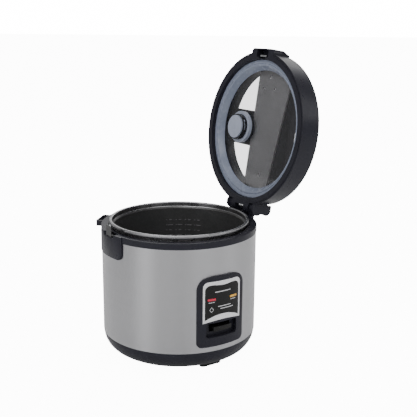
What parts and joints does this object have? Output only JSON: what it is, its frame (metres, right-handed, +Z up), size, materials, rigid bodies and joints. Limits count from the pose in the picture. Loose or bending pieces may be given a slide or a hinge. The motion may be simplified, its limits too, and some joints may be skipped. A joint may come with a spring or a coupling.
{
  "type": "rice cooker",
  "caption": "Round electric rice cooker with a brushed steel body, a spring-open hinged lid, a lift-out pot, a front panel with a cooking lever and indicator lamps.",
  "frame": {"origin": "on the table under the body's axis, in the plane of the feet", "axes": "+Z up, -Y towards the control panel, +X towards the lid's hinge, -X towards the lid's latch"},
  "size_m": [0.3021, 0.2364, 0.4468],
  "materials": {
    "brushed_shell": "brushed",
    "grey_plastic": "satin",
    "black_plastic": "matt",
    "gloss_black": "gloss",
    "silver_trim": "satin chrome",
    "red_lens": "clear tinted",
    "amber_lens": "clear tinted",
    "lamp_glass": "clear",
    "pale_plastic": "matt",
    "pale_silicone": "matt",
    "black_rubber": "matt",
    "plated_steel": "zinc plated",
    "cast_aluminium": "turned",
    "pot_aluminium": "dark non-stick coating, bare rim",
    "heater_foil": "woven glass tape",
    "pin_brass": "bright",
    "clear_glass": "clear"
  },
  "bodies": {
    "cooker_body": {"outer_shell": "brushed_shell", "top_ring": "grey_plastic", "base_bowl": "grey_plastic", "bottom_plate": "plated_steel", "bottom_screws": "plated_steel", "feet": "black_rubber", "inner_shell": "plated_steel", "side_heater": "heater_foil", "heating_plate": "cast_aluminium", "heater_element": "plated_steel", "plate_standoffs": "plated_steel", "thermostat_sleeve": "plated_steel", "sensor_spring": "plated_steel", "micro_switch": "black_plastic", "thermal_fuse": "pale_plastic", "terminal_block": "pale_plastic", "mains_inlet": "black_plastic", "inlet_pins": "pin_brass", "control_panel": "grey_plastic", "badge_frame": "silver_trim", "badge_face": "gloss_black", "cook_lens": "red_lens", "warm_lens": "amber_lens", "lamp_board": "pale_plastic", "indicator_lamps": "lamp_glass", "lever_pivot": "plated_steel", "lever_spring": "plated_steel", "paddle_loop": "grey_plastic", "latch_catch": "black_plastic", "hinge_ears": "grey_plastic", "hinge_pin": "plated_steel", "hinge_spring": "plated_steel"},
    "pot": {"inner_pot": "pot_aluminium"},
    "lid": {"lid_cover": "grey_plastic", "lid_frame": "grey_plastic", "lid_screws": "plated_steel", "lid_glass": "clear_glass", "gasket": "pale_silicone", "band_plate": "grey_plastic", "band_screws": "plated_steel", "vent_seal": "pale_silicone", "vent_body": "black_plastic", "vent_outlet": "black_plastic", "button_spring": "plated_steel"},
    "steam_cap": {"vent_cap": "pale_silicone"},
    "button": {"release_button": "grey_plastic", "latch_strip": "plated_steel"},
    "lever": {"switch_lever": "gloss_black"},
    "magnet": {"magnet_plunger": "plated_steel"},
    "sensor": {"sensor_cap": "cast_aluminium"}
  },
  "joints": [
    {"name": "lid_hinge", "type": "hinge", "parent": "cooker_body", "child": "lid", "pos_m": [0.12, 0, 0.206], "axis": [0, 1, 0], "range_deg": [-99, 0], "stiffness_Nm_per_rad": 0.35, "springref_deg": 28.65, "deforming": ["hinge_spring"]},
    {"name": "button_press", "type": "slide", "parent": "lid", "child": "button", "axis": [-0.1564, 0, -0.9877], "range_m": [0, 0.0025], "stiffness_N_per_m": 600, "springref_m": -0.003, "deforming": ["button_spring"]},
    {"name": "vent_twist", "type": "hinge", "parent": "lid", "child": "steam_cap", "pos_m": [0.13222, 0.044, 0.32404], "axis": [0.9877, 0, -0.1564], "range_deg": [0, 35]},
    {"name": "switch_press", "type": "hinge", "parent": "cooker_body", "child": "lever", "pos_m": [0, -0.09, 0.056], "axis": [1, 0, 0], "range_deg": [0, 5.7], "deforming": ["lever_spring"]},
    {"name": "magnet_lift", "type": "slide", "parent": "cooker_body", "child": "magnet", "axis": [0, 0, 1], "range_m": [0, 0.0095]},
    {"name": "sensor_press", "type": "slide", "parent": "cooker_body", "child": "sensor", "axis": [0, 0, 1], "range_m": [-0.0015, 0], "stiffness_N_per_m": 300, "springref_m": 0.003, "deforming": ["sensor_spring"]},
    {"name": "pot_lift", "type": "slide", "parent": "cooker_body", "child": "pot", "axis": [0, 0, 1], "range_m": [0, 0.13]}
  ],
  "couplings": [
    {"joint": "magnet_lift", "follows": "switch_press", "m_per_rad": 0.093}
  ]
}
